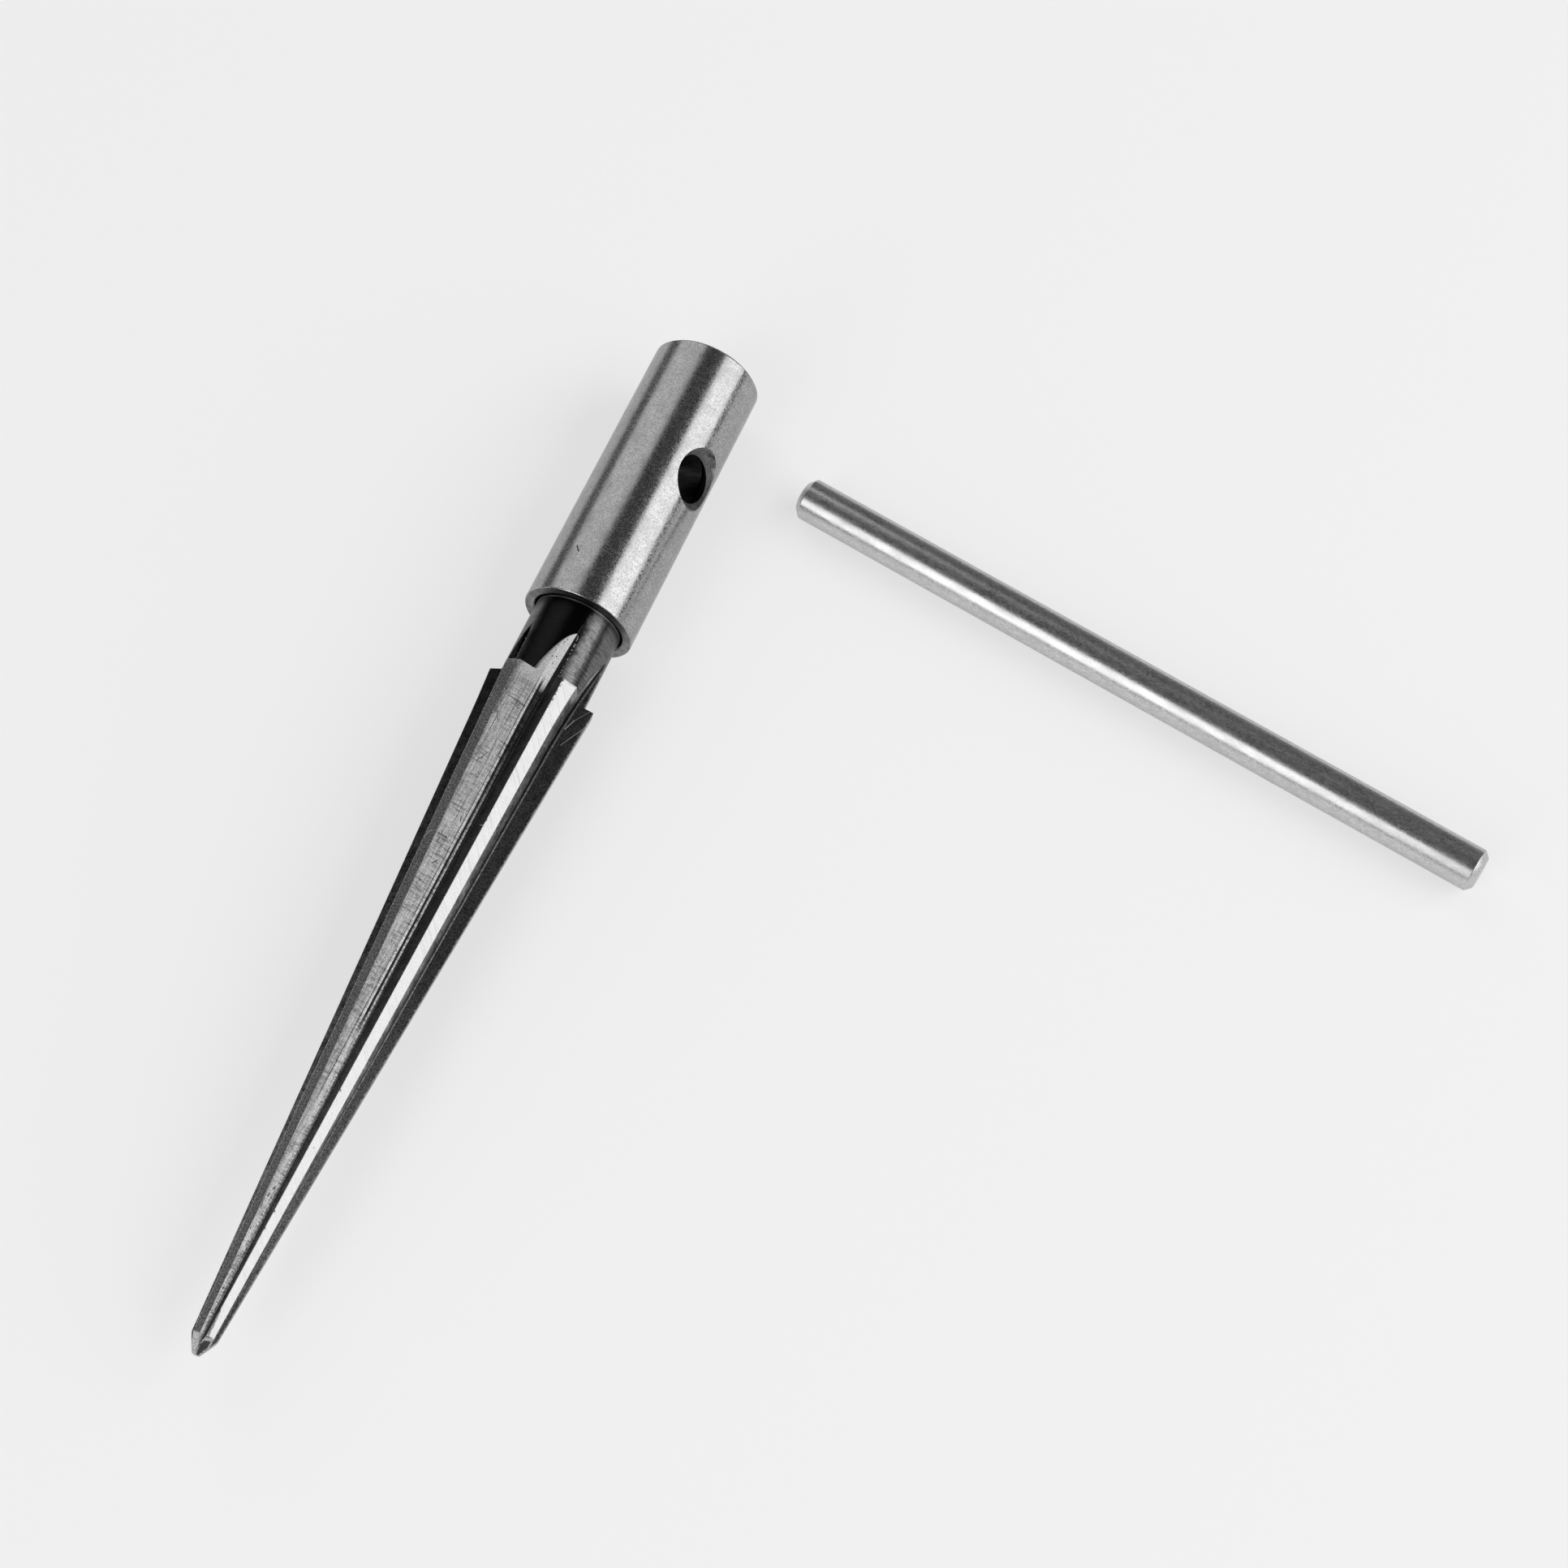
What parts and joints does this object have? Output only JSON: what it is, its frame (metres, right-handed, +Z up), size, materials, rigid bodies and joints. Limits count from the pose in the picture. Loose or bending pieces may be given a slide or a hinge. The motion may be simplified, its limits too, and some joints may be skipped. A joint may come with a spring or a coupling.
{
  "type": "taper reamer",
  "caption": "Hand taper reamer with straight flutes for enlarging holes in sheet metal, with a cross-drilled handle sleeve and a loose tommy bar.",
  "frame": {"origin": "centre of the bottom of the whole part's box, on the surface that the sleeve and the bar lie on", "axes": "+X along the reamer from its point to the closed end of its sleeve, +Z up, the tommy bar on the -Y side"},
  "size_m": [0.132, 0.113, 0.0135],
  "materials": {
    "blackened_tool_steel": "black oxide on hardened steel, with ground lands and milled flutes",
    "bright_turned_steel": "satin turned steel",
    "bright_drawn_steel": "smooth drawn steel"
  },
  "bodies": {
    "root": {"fluted_blade": "blackened_tool_steel", "handle_sleeve": "bright_turned_steel", "tommy_bar": "bright_drawn_steel"}
  },
  "joints": []
}
